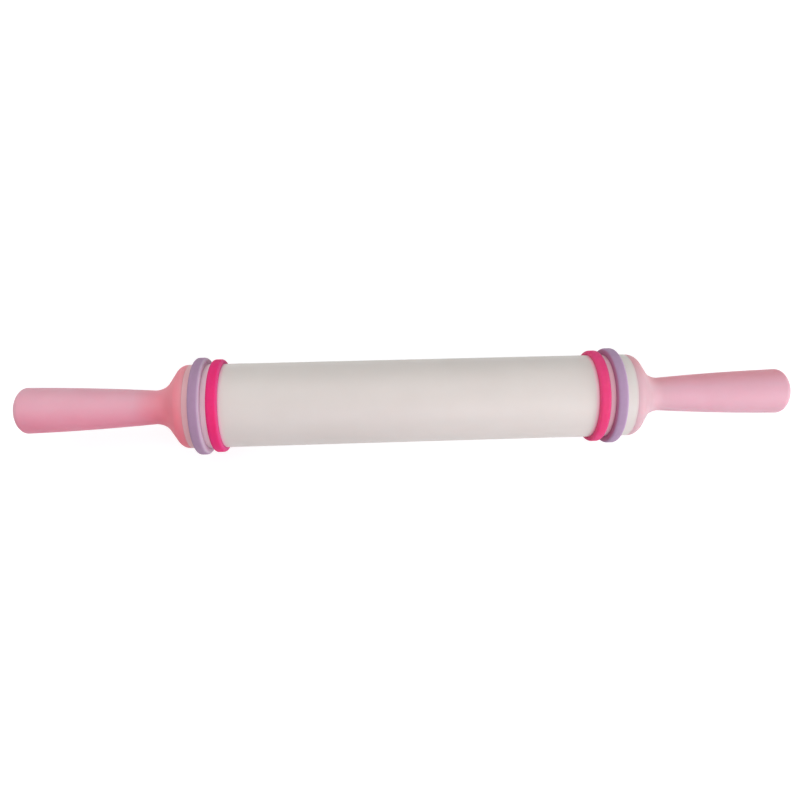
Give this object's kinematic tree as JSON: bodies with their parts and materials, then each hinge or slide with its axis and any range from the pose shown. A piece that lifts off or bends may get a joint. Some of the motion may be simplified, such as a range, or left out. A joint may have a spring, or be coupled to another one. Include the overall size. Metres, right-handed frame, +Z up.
{
  "type": "adjustable rolling pin",
  "caption": "Rolling pin with a hollow barrel turning on a steel axle between two flared handles, and pairs of slip-on guide rings that set the dough's thickness.",
  "frame": {"origin": "on the surface that the pin rests on, straight under the middle of the barrel's axis", "axes": "+X along the pin, +Z up, +Y level across it; the thick rings' lowest flats lie on Z = 0"},
  "size_m": [0.466, 0.058, 0.058],
  "materials": {
    "milky_plastic": "milky, slightly translucent satin polyethylene",
    "pink_plastic": "satin moulded plastic, soft pink",
    "hot_pink_rubber": "smooth hot-pink elastomer",
    "lavender_rubber": "smooth lavender elastomer",
    "plug_plastic": "moulded, as it comes from the tool",
    "bearing_nylon": "natural nylon",
    "core_plastic": "moulded pink plastic",
    "bright_steel": "drawn bright bar",
    "spring_steel": "blued spring steel",
    "insert_brass": "turned brass"
  },
  "bodies": {
    "barrel": {"barrel_tube": "milky_plastic", "left_end_plug": "plug_plastic", "left_axle_bush": "bearing_nylon", "right_end_plug": "plug_plastic", "right_axle_bush": "bearing_nylon"},
    "handles": {"axle_rod": "bright_steel", "left_thrust_washer": "bearing_nylon", "left_retaining_clip": "spring_steel", "left_handle": "pink_plastic", "left_bell_cover": "core_plastic", "left_handle_core": "core_plastic", "left_threaded_insert": "insert_brass", "right_thrust_washer": "bearing_nylon", "right_retaining_clip": "spring_steel", "right_handle": "pink_plastic", "right_bell_cover": "core_plastic", "right_handle_core": "core_plastic", "right_threaded_insert": "insert_brass"},
    "left_thin_ring_body": {"left_thin_ring": "hot_pink_rubber"},
    "left_thick_ring_body": {"left_thick_ring": "lavender_rubber"},
    "right_thin_ring_body": {"right_thin_ring": "hot_pink_rubber"},
    "right_thick_ring_body": {"right_thick_ring": "lavender_rubber"}
  },
  "joints": [
    {"name": "handles_spin", "type": "hinge", "parent": "barrel", "child": "handles", "pos_m": [0, 0, 0.029], "axis": [1, 0, 0], "continuous": true},
    {"name": "left_thin_ring_slide", "type": "slide", "parent": "barrel", "child": "left_thin_ring_body", "axis": [1, 0, 0], "range_m": [-0.0029, 0.11]},
    {"name": "right_thin_ring_slide", "type": "slide", "parent": "barrel", "child": "right_thin_ring_body", "axis": [1, 0, 0], "range_m": [-0.107, 0.0028]},
    {"name": "left_thick_ring_slide", "type": "slide", "parent": "barrel", "child": "left_thick_ring_body", "axis": [1, 0, 0], "range_m": [-0.1134, 0.0029]},
    {"name": "right_thick_ring_slide", "type": "slide", "parent": "barrel", "child": "right_thick_ring_body", "axis": [1, 0, 0], "range_m": [-0.0028, 0.1165]}
  ]
}
